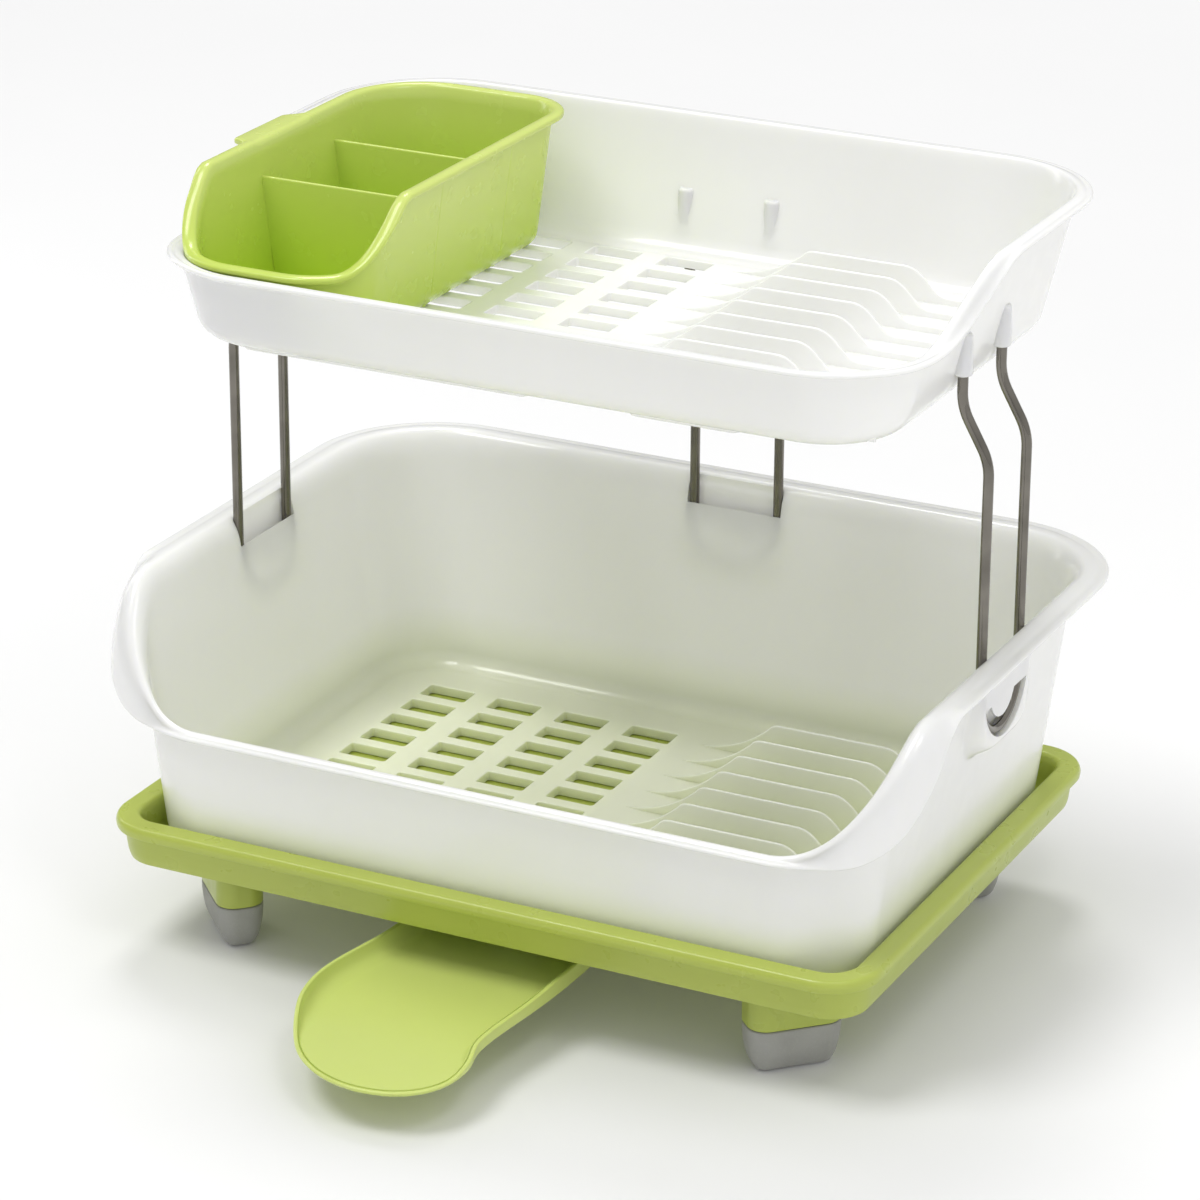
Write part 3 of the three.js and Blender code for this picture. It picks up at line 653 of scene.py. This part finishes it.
def swivel_spout():
    plan = spout_outline()
    low = SPOUT["floor"]
    top = spout_wall_top(plan[:, 0], plan[:, 1])
    room = top - low - WALL
    # underside and outside, then the rounded top of the wall, then the fillet inside and the floor
    profile = [(-6, low), (-2.2, low), (-1.0, low + 0.35), (-0.4, low + 1.0),
               (-0.1, np.minimum(low + 2, top - 1.7))]
    profile += [(0.25, top - 1.3), (0.2, top - 0.7), (-0.2, top - 0.25), (-0.9, top), (-1.6, top - 0.1),
                (-2.1, top - 0.5), (-2.4, top - 1.1)]
    reach = SPOUT["fillet"] * np.clip(room / (SPOUT["fillet"] + 0.4), 0.1, 1)
    for angle in np.linspace(0, math.pi / 2, FILLET_ROWS):
        profile.append((-WALL - reach * (1 - math.cos(angle)),
                        low + WALL + np.maximum(reach * (1 - math.sin(angle)), 0)))
    profile += [(-16, low + WALL)]
    loops = outline_rows(plan, profile)
    loops[:, :, 2] += SPOUT["slope"] * loops[:, :, 1]
    body = loft("spout", loops)
    rear, sides = SPOUT["rear"], 96
    chamber = lathe("chamber", 0, 0, [(rear - 1.2, low + 1.2), (rear - 0.5, low + 3),
                                      (rear - 0.5, DECK["top"] - 1.2), (rear - 1.7, DECK["top"])], sides)
    inside = post("inside", 0, 0, low, DECK["bottom"], rear - WALL, sides)
    hole = post("hole", 0, 0, DECK["bottom"] - 5, DECK["top"] + 5, DECK["hole"])
    mouth = block("mouth", (-90, -90, low - 5), (90, DECK["front"], DECK["top"] + 5), 0.2)
    combine(chamber, ("DIFFERENCE", inside), ("DIFFERENCE", hole), ("DIFFERENCE", mouth))
    combine(body, ("UNION", chamber))
    turned(body, 0, 0, DRAIN["y"])      # modelled about the drain's axis, and carried to it here
    make_piece(body, "spout_moulding", SPOUT_GREEN, "spout", "swivel_spout")


# ---------------------------------------------------------------- baskets


def station_distance(outline):
    """Distance along the wall from the nearest station, or far away where no station is near."""
    distance = np.full(len(outline), 1e3)
    for station in STATIONS.values():
        facing = np.array((math.cos(station["turn"]), math.sin(station["turn"])))
        side = np.array((-facing[1], facing[0]))
        along = (outline[:, :2] - np.array((station["x"], station["y"]))) @ side
        distance = np.where(outline[:, 2:4] @ facing > 0.999, np.abs(along), distance)
    return distance


def flange(spec, outline):
    """Rim round the outline: heights of its crest and edge, its reach outwards and its depth.

    It climbs round the front corners, and its edge lags behind its crest.
    """
    y, facing = outline[:, 1], outline[:, 3]
    front, side = spec["front"], spec["side"]
    climb = [smooth(y + 12 * facing - back, *spec["rise"]) for back in (0, spec["lag"])]
    crest = lerp(front["rim"], side["rim"], climb[0])
    edge = lerp(front["rim"], side["rim"] - 1.5, climb[1])
    frontal = smooth(-facing, 0.3, 1)
    reach = lerp(side["reach"], front["reach"], frontal)
    drop = lerp(side["drop"], front["drop"], frontal)
    return crest, edge, reach, drop


def flange_curves(spec, crest, edge, reach, drop):
    """Top and under curves of the flange, from the wall to its outer edge."""
    droop = np.clip((crest - edge) / 20, 0, 1)
    flare = crest - drop
    wall = wall_offset(spec, flare)
    reach = reach - 1.1
    step_rows = 9

    def curve(start, crown, end, climb):
        rise, run = crown[1] - start[1], crown[0] - start[0]
        out, fall = end[0] - crown[0], crown[1] - end[1]
        first = [start, (start[0] + spec["draft"] * climb * rise, start[1] + climb * rise),
                 (crown[0] - 0.5 * run, crown[1]), crown]
        second = [crown, (crown[0] + 0.5 * out, crown[1]),
                  (end[0] - lerp(0.45, 0.05, droop) * out, end[1] + lerp(0.05, 0.55, droop) * fall), end]
        first, second = ([np.array(np.broadcast_arrays(*p)) for p in half] for half in (first, second))
        return [first[0], *bezier(first, 9), *bezier(second, step_rows - 1)]

    top = curve((wall - WALL, flare), (wall + 0.5 * reach - WALL, crest), (wall + reach, edge), 0.5)
    under = curve((wall, flare), (wall + 0.5 * reach, crest - WALL),
                  (wall + reach - droop * WALL, edge - (1 - droop) * WALL), 0.46)
    # a shallow step up near the edge, where the rim is level
    for i, t in enumerate(np.linspace(0, 1, step_rows)):
        step = 0.55 * smooth(t, 0.62, 0.86) * (1 - droop)
        top[i - step_rows] = top[i - step_rows] + np.array([np.zeros_like(edge), step])
    return top, under


def edge_cap(start, stop, count=6):
    """Half-round from one curve's end to the other's."""
    middle, half = (start + stop) / 2, (stop - start) / 2
    outwards = np.array([half[1], -half[0]])
    return [middle - half * math.cos(a) + outwards * math.sin(a)
            for a in np.linspace(0, math.pi, count + 2)[1:-1]]


def swell(spec, outline, rows):
    """Pushes the outer wall's rows out over the wire supports, as pockets with a round bottom."""
    distance = station_distance(outline)
    back = np.abs(outline[:, 3]) > 0.9
    pushed = []
    for offset, height in rows:
        height = np.broadcast_to(height, distance.shape)
        legs = np.where(back, STATIONS["back"]["y"] - spec["half"][1] - lean_at(spec, height),
                        STATIONS["right"]["x"] - spec["half"][0])
        target = legs + POCKET["cover"]
        below = np.maximum(BEND_MIDDLE - height, 0)
        away = (distance ** 4 + below ** 4) ** 0.25
        inside = 1 - smooth(away, POCKET["half"] - 5, POCKET["half"] + 4)
        amount = inside * (1 - smooth(height, *POCKET["fade"]))
        pushed.append((np.maximum(offset, lerp(offset, target, amount)), height))
    return pushed


def basket_profile(spec, outline, pocket):
    """Section of a basket: underside, outer wall, rim, inner wall and floor."""
    crest, edge, reach, drop = flange(spec, outline)
    top, under = flange_curves(spec, crest, edge, reach, drop)
    flare = crest - drop
    full = spec["side"]["rim"] - spec["side"]["drop"]
    start = spec["underside"] + spec["fillet"]
    fine = ((POCKET["bottom"] - 6, POCKET["bottom"] + 8, 1.0),) if pocket else ()
    places = [(height - start) / (full - start) for height in spread(start, full, 7, fine)]
    rows = bottom_edge(spec, spec["underside"], 0) + wall_rows(spec, start, flare, places, 0)
    rows += [tuple(p) for p in under]
    if pocket:
        rows = swell(spec, outline, rows)
    rows += [tuple(p) for p in edge_cap(under[-1], top[-1])]
    rows += [tuple(p) for p in reversed(top)]
    rows += wall_rows(spec, spec["floor"] + spec["fillet"], flare, np.linspace(0.92, 0.08, 8), WALL)
    rows += bottom_edge(spec, spec["floor"], WALL)[::-1]
    return rows


def row_places(spec):
    """Places of the slot rows and plate ribs, in y."""
    middle = (GRID["rows"] - 1) / 2
    return [spec["centre"][1] + (row - middle) * GRID["row_pitch"] for row in range(GRID["rows"])]


def floor_grid(spec):
    """The deeper panels and the slots of the drainage grid."""
    right, panel, floor = spec["column_right"], spec["panel"], spec["floor"]
    left = right - GRID["columns"] * GRID["pitch"] + (GRID["pitch"] - GRID["length"])
    rows = row_places(spec)
    edge = GRID["width"] / 2 + 4
    panels = []
    for start, stop in ((left - 4, right + 4), (RIB_DRAIN["from"] - 4, RIB_DRAIN["to"] + 4)):
        half = ((stop - start) / 2, (rows[-1] - rows[0]) / 2 + edge)
        plan = rounded_rectangle(half, 5, ((start + stop) / 2, spec["centre"][1]), corner=5, pitch=1000)
        heights = [panel, panel + 0.4, panel + 1.2, floor - 0.5]
        panels.append(plate("panel", plan, heights, [1.2, 0.4, 0, -0.6]))
    slots = []
    half = (GRID["length"] / 2, GRID["width"] / 2)
    for y in rows:
        for column in range(GRID["columns"]):
            centre = (right - column * GRID["pitch"] - GRID["length"] / 2, y)
            slots.append(slot_cutter("slot", centre, half, 1.6, panel, floor))
    half = ((RIB_DRAIN["to"] - RIB_DRAIN["from"]) / 2, RIB_DRAIN["width"] / 2)
    for y in rows[1:]:
        centre = ((RIB_DRAIN["from"] + RIB_DRAIN["to"]) / 2, y - GRID["row_pitch"] / 2)
        slots.append(slot_cutter("slot", centre, half, 2.5, panel, floor))
    return panels, joined("slots", slots)


def rib_line(spec):
    """Top line of a plate rib: a concave sweep up, a plateau, a slope and a low ledge along to the wall."""
    rib, floor = spec["rib"], spec["floor"]
    top, ledge = rib["top"], floor + 4
    slope = (rib["edge"] + 7, top - 8)
    landing = (slope[0] + slope[1] - ledge - 3, ledge + 3)
    line = [np.array((rib["foot"], floor + 0.2))]
    line += bezier([line[0], (rib["shoulder"] - 21, floor + 2.5), (rib["shoulder"] - 3, top - 2.8)], 22)
    line += bezier([line[-1], (rib["shoulder"] - 1, top), (rib["shoulder"] + 4, top)], 5)
    line += [np.array((rib["edge"] - 8, top))]
    line += bezier([line[-1], (rib["edge"], top), slope], 8)
    line += bezier([landing, (landing[0] + 3, ledge), (landing[0] + 9, ledge)], 6)
    line += [np.array((rib["wall"], ledge))]
    return np.array(line)


def plate_rib(spec, y):
    """Thin rib with a half-round top edge, standing on the floor."""
    foot, edge = 1.15, 0.95         # half the rib's thickness, low down and at its top edge
    line = rib_line(spec)
    along = np.gradient(line, axis=0)
    along /= np.linalg.norm(along, axis=1)[:, None]
    up = np.column_stack([-along[:, 1], along[:, 0]])
    base = spec["floor"] - 1
    loops = []
    for point, normal in zip(line, up):
        section = [(point[0], -foot, base)]
        for angle in np.linspace(-math.pi / 2, math.pi / 2, 7):
            spot = point - edge * (1 - math.cos(angle)) * normal
            section.append((spot[0], edge * math.sin(angle), max(spot[1], base + 0.3)))
        section.append((point[0], foot, base))
        loops.append(section)
    loops = np.array(loops)
    loops[:, :, 1] += y
    return loft("rib", loops)


def pocket_room(station):
    """Slot for the U-bend, the window on its lowest part and the notch where the legs come out."""
    half, ledge, tongue = WIRE_RADIUS + POCKET["clearance"], POCKET["ledge"], POCKET["tongue"]
    radius = LEG_SPACING / 2 + half

    def arc(size, start, stop, count):
        angles = np.linspace(start, stop, count)
        return [(size * math.cos(a), BEND_MIDDLE + size * math.sin(a)) for a in angles]

    slot = arc(radius, math.pi, 2 * math.pi, 41) + [(radius, ledge + 1), (-radius, ledge + 1)]
    outer, inner = (math.asin((BEND_MIDDLE - POCKET["window"]) / size) for size in (radius, tongue))
    window = arc(radius, math.pi + outer, 2 * math.pi - outer, 33)
    window += [(y + POCKET["tongue_shift"], z) for y, z in arc(tongue, -inner, inner - math.pi, 33)]
    depth = half + 5.6
    notch = rounded_rectangle((depth, radius), half, (half - depth, 0), corner=8, pitch=1000)
    bodies = [
        extruded("slot", slot, -half, half),
        extruded("window", window, 0, POCKET["cover"] + 8),
        plate("notch", notch, [ledge, ledge + 0.4, 230]),
    ]
    return [at_station(body, station) for body in bodies]


def sockets(station):
    """Sockets for a support's upper ends, and their bores."""
    mouth, top, sides = SOCKET["mouth"], SOCKET["top"], 32
    radius, end = SOCKET["radius"], SOCKET["top_radius"]
    bodies, bores = [], []
    for side in (-1, 1):
        y = side * LEG_SPACING / 2
        bodies.append(lathe("socket", -JOGGLE, y, [
            (radius - 0.5, mouth), (radius, mouth + 0.6), (end + 0.1, top - 1.6), (end - 0.3, top - 0.6),
            (end - 1.1, top)], sides))
        bores.append(post("bore", -JOGGLE, y, mouth - 3, WIRE_TOP + 0.6, SOCKET["bore"], sides))
    return [at_station(b, station) for b in bodies], [at_station(b, station) for b in bores]


def basket(name, spec, pocket):
    """A basket, with pockets for the supports' U-bends in its walls or with sockets for their upper ends."""
    reach, pitch = POCKET["fine"]
    back, side = STATIONS["back"]["x"], STATIONS["right"]["y"]
    fine_x = [(back - reach, back + reach, pitch)] if pocket else []
    fine_y = [(side - reach, side + reach, pitch)] if pocket else []
    outline = rounded_rectangle(spec["half"], spec["radius"], spec["centre"], corner=26, pitch=6,
                                fine_x=fine_x, fine_y=fine_y)
    profile = basket_profile(spec, outline, pocket)
    body = loft(name, outline_rows(outline, profile, lambda height: lean_at(spec, height)))
    panels, slots = floor_grid(spec)
    steps = [("UNION", panel) for panel in panels]
    steps += [("UNION", joined("ribs", [plate_rib(spec, y) for y in row_places(spec)]))]
    steps += [("DIFFERENCE", slots)]
    for station in STATIONS.values():
        if pocket:
            steps += [("DIFFERENCE", room) for room in pocket_room(station)]
        else:
            bodies, bores = sockets(station)
            steps += [("UNION", b) for b in bodies] + [("DIFFERENCE", b) for b in bores]
    return combine(body, *steps)


def baskets():
    for name, spec, pocket in (("lower", LOWER, True), ("upper", UPPER, False)):
        make_piece(basket(name, spec, pocket), f"{name}_basket_moulding", WHITE, name, f"{name}_basket")


# ---------------------------------------------------------------- wire supports


def support_path():
    """Centre line of a support: down one leg, round the U-bend and up the other.

    x is outwards from the wall and y along it.
    """
    half = LEG_SPACING / 2

    def leg(side):
        high, low = np.array((-JOGGLE, JOGGLE_TO)), np.array((0, JOGGLE_FROM))
        end, foot = np.array((-JOGGLE, WIRE_TOP)), np.array((0, BEND_MIDDLE))
        line = [end]
        for before, here, after in ((end, high, low), (high, low, foot)):
            start = here + (before - here) / np.linalg.norm(before - here) * JOGGLE_BEND
            stop = here + (after - here) / np.linalg.norm(after - here) * JOGGLE_BEND
            line += [start, *bezier([start, here, stop], 8)]
        return [np.array((x, side * half, z)) for x, z in line]

    bend = [np.array((0, -half * math.cos(a), BEND_MIDDLE - half * math.sin(a)))
            for a in np.linspace(0, math.pi, 33)]
    return np.array([*leg(-1), *bend, *leg(1)[::-1]])


def rod(path, radius, sides=24):
    """Round rod along a path, with a small chamfer at both ends."""
    along = np.gradient(path, axis=0)
    along /= np.linalg.norm(along, axis=1)[:, None]
    across = np.array((1.0, 0, 0))
    frames = []
    for direction in along:
        across = across - direction * np.dot(across, direction)
        across /= np.linalg.norm(across)
        frames.append((across, np.cross(direction, across)))
    angles = np.linspace(0, 2 * math.pi, sides, endpoint=False)

    def ring_at(i, shift, size):
        first, second = frames[i]
        centre = path[i] + along[i] * shift
        return [centre + size * (first * math.cos(a) + second * math.sin(a)) for a in angles]

    loops = [ring_at(0, 0, radius - 0.5), ring_at(0, 0.2, radius - 0.15), ring_at(0, 0.6, radius)]
    loops += [ring_at(i, 0, radius) for i in range(1, len(path) - 1)]
    loops += [ring_at(-1, -0.6, radius), ring_at(-1, -0.2, radius - 0.15), ring_at(-1, 0, radius - 0.5)]
    return loft("rod", loops)


def wire_supports():
    for name, station in STATIONS.items():
        body = at_station(rod(support_path(), WIRE_RADIUS), station)
        make_piece(body, f"wire_rod_{name}", STEEL, f"support_{name}", f"wire_support_{name}")


# ---------------------------------------------------------------- cutlery holder

RIM_BELOW, RIM_INSIDE = 7, 14       # how far the rim's section goes down, outside and inside the wall


def holder_rim(y, facing):
    """Section of the rim, (offset, height) from the wall's top: a short roll, or a tab that hooks over."""
    below, down, flare = (-0.4, -RIM_BELOW, 0), (-4.2, -RIM_INSIDE, 0), [(-1.2, -0.5, 4), (-3.6, -6.5, 6)]
    plain = rounded([below, (0, -4.2, 0.8), (3.4, -4.3, 0.8), (4.6, -4.5, 0.6), (6.2, -4.2, 1.0),
                     (6.3, -1.4, 2.6), (3.2, 0, 4), *flare, down])
    tab = rounded([below, (0, -3.2, 0.8), (13.0, -3.0, 0.8), (13.4, -4.1, 0.5), (14.8, -4.1, 1.0),
                   (15.0, -0.9, 2.2), (9.0, -0.2, 5), *flare, down])
    starts = smooth(y, HOOK["from"] - 4, HOOK["from"] + 2)
    ends = 1 - smooth(y, HOOK["to"] - 2, HOOK["to"] + 10)
    hooked = starts * ends * (facing < -0.9)
    return [lerp(np.array(p)[:, None], np.array(q)[:, None], hooked) for p, q in zip(plain, tab)]


def holder_profile(outline):
    """Section of the holder: underside, outer wall grooved at the dividers, rim, inner wall and floor."""
    y, facing = outline[:, 1], outline[:, 2]
    rim = lerp(HOLDER["front"], HOLDER["high"], smooth(y, *HOLDER["rise"]))
    low, floor, fillet = HOLDER["underside"], HOLDER["floor"], HOLDER["fillet"]
    groove = np.zeros(len(outline))
    for divider in HOLDER["dividers"]:
        groove = np.maximum(groove, 1 - smooth(np.abs(y - divider), 0.3, 1.2))
    groove = 0.22 * groove * (np.abs(facing) > 0.9)
    rows = bottom_edge(HOLDER, low, 0)
    rows += wall_rows(HOLDER, low + fillet, rim - RIM_BELOW, np.linspace(0.06, 0.94, 9), groove)
    rows += [(wall_offset(HOLDER, rim) + out, rim + up) for out, up in holder_rim(y, facing)]
    rows += wall_rows(HOLDER, floor + fillet, rim - RIM_INSIDE, np.linspace(0.9, 0.08, 6), WALL)
    rows += bottom_edge(HOLDER, floor, WALL)[::-1]
    return rows


def holder_divider(y):
    """Partition across the holder with a rounded top edge."""
    centre, base, top = HOLDER["centre"][0], HOLDER["floor"] - 1, HOLDER["divider_top"]
    loops = []
    for height, thick in ((base, 1.2), (top - 1.1, 1.0), (top - 0.6, 0.9), (top - 0.2, 0.55), (top, 0.15)):
        wall = wall_offset(HOLDER, max(height, HOLDER["floor"]))
        reach = HOLDER["half"][0] + wall - 0.5 * WALL - (2 if height == base else 0)
        loops.append([(centre - reach, y - thick, height), (centre + reach, y - thick, height),
                      (centre + reach, y + thick, height), (centre - reach, y + thick, height)])
    return loft("divider", loops)


def cutlery_holder():
    dividers = HOLDER["dividers"]
    fine = [(HOOK["from"] - 6, HOOK["to"] + 12, 1.5)] + [(y - 2.4, y + 2.4, 0.4) for y in dividers]
    outline = rounded_rectangle(HOLDER["half"], HOLDER["radius"], HOLDER["centre"], corner=20, pitch=5,
                                fine_y=fine)
    body = loft("holder", outline_rows(outline, holder_profile(outline)))
    centre_x, centre_y = HOLDER["centre"]
    places = [centre_y - HOLDER["half"][1], *dividers, centre_y + HOLDER["half"][1]]
    drains = []
    for start, stop in zip(places, places[1:]):
        half = (3, (stop - start) / 2 - 16)
        for x in (-30, -10, 10, 30):
            drains.append(slot_cutter("drain", (centre_x + x, (start + stop) / 2), half, 2.8,
                                      HOLDER["underside"], HOLDER["floor"], 0.5))
    steps = [("UNION", holder_divider(y)) for y in dividers]
    combine(body, *steps, ("DIFFERENCE", joined("drains", drains)))
    make_piece(body, "holder_moulding", HOLDER_GREEN, "holder", "cutlery_holder")


# ---------------------------------------------------------------- stage, light and camera


def row_frame(x, y, z):
    return Vector((MIDDLE.x + x * 0.001, MIDDLE.y + y * 0.001, z * 0.001))


def pale_floor():
    half = 6000.0
    corners = [(-half, -half, 0), (half, -half, 0), (half, half, 0), (-half, half, 0)]
    obj = mesh_object("floor", corners, [(0, 1, 2, 3)])
    obj.location.z = -0.0005
    material, tree, coordinates = new_material("pale_floor")
    shader = shader_of(material, Roughness=0.7, Emission_Color=(1, 1, 1, 1), Emission_Strength=0.03)
    cloud = noise(tree, coordinates, 3, 3)
    tone = blended(tree, ranged(tree, cloud, 0, 1), (0.81, 0.81, 0.81), (0.80, 0.80, 0.80))
    tree.links.new(tone, shader.inputs["Base Color"])
    obj.data.materials.append(material)


def softbox(name, place, target, size, power):
    light = bpy.data.lights.new(name, "AREA")
    light.shape = "RECTANGLE"
    light.size, light.size_y = size
    light.energy = power
    obj = bpy.data.objects.new(name, light)
    obj.location = row_frame(*place)
    obj.rotation_euler = (row_frame(*target) - obj.location).to_track_quat("-Z", "Y").to_euler()
    bpy.context.scene.collection.objects.link(obj)


def sun(name, towards, strength, spread_angle):
    light = bpy.data.lights.new(name, "SUN")
    light.energy = strength
    light.angle = math.radians(spread_angle)
    obj = bpy.data.objects.new(name, light)
    obj.rotation_euler = Vector(towards).to_track_quat("Z", "Y").to_euler()
    bpy.context.scene.collection.objects.link(obj)


def studio():
    """White room, brightest high on the right and dimmest low on the left, with suns and softboxes."""
    world = bpy.data.worlds.new("studio")
    world.use_nodes = True
    tree = world.node_tree
    direction = node(tree, "ShaderNodeTexCoord")
    facing = node(tree, "ShaderNodeVectorMath", operation="DOT_PRODUCT")
    facing.inputs[1].default_value = Vector((0.72, -0.10, 0.68)).normalized()
    tree.links.new(direction.outputs["Generated"], facing.inputs[0])
    glow = ranged(tree, facing.outputs["Value"], 0.18, 0.80, -0.6, 0.9, "SMOOTHSTEP")
    tree.links.new(glow, tree.nodes["Background"].inputs["Strength"])
    tree.nodes["Background"].inputs["Color"].default_value = (1, 1, 1, 1)
    bpy.context.scene.world = world
    sun("overhead_left", (-0.30, -0.25, 0.92), 1.05, 24)
    sun("overhead_back", (-0.25, 0.45, 0.86), 0.7, 16)
    target = (0, 0, 250)
    softbox("key", (700, -500, 1500), target, (0.4, 0.4), 2.5)
    softbox("strip", (-1500, 200, 900), target, (0.25, 1.2), 3)
    bpy.context.scene.view_settings.view_transform = "Standard"
    bpy.context.scene.view_settings.look = "None"


def camera():
    azimuth, elevation, roll = (math.radians(CAMERA[key]) for key in ("azimuth", "elevation", "roll"))
    back = Vector((math.sin(azimuth) * math.cos(elevation), -math.cos(azimuth) * math.cos(elevation),
                   math.sin(elevation)))
    right = Vector((math.cos(azimuth), math.sin(azimuth), 0))
    up = back.cross(right)
    x_axis = math.cos(roll) * right + math.sin(roll) * up
    y_axis = -math.sin(roll) * right + math.cos(roll) * up
    data = bpy.data.cameras.new("camera")
    data.lens = CAMERA["lens"]
    data.sensor_width = 36
    data.clip_end = 50
    obj = bpy.data.objects.new("camera", data)
    turn = Matrix((x_axis, y_axis, back)).transposed().to_4x4()
    obj.matrix_world = Matrix.Translation(row_frame(*CAMERA["place"])) @ turn
    bpy.context.scene.collection.objects.link(obj)
    bpy.context.scene.camera = obj


drip_tray()
for corner_name, corner_side in CORNERS.items():
    foot_cap(corner_name, corner_side)
drain_nut()
swivel_spout()
baskets()
wire_supports()
cutlery_holder()
pale_floor()
studio()
camera()
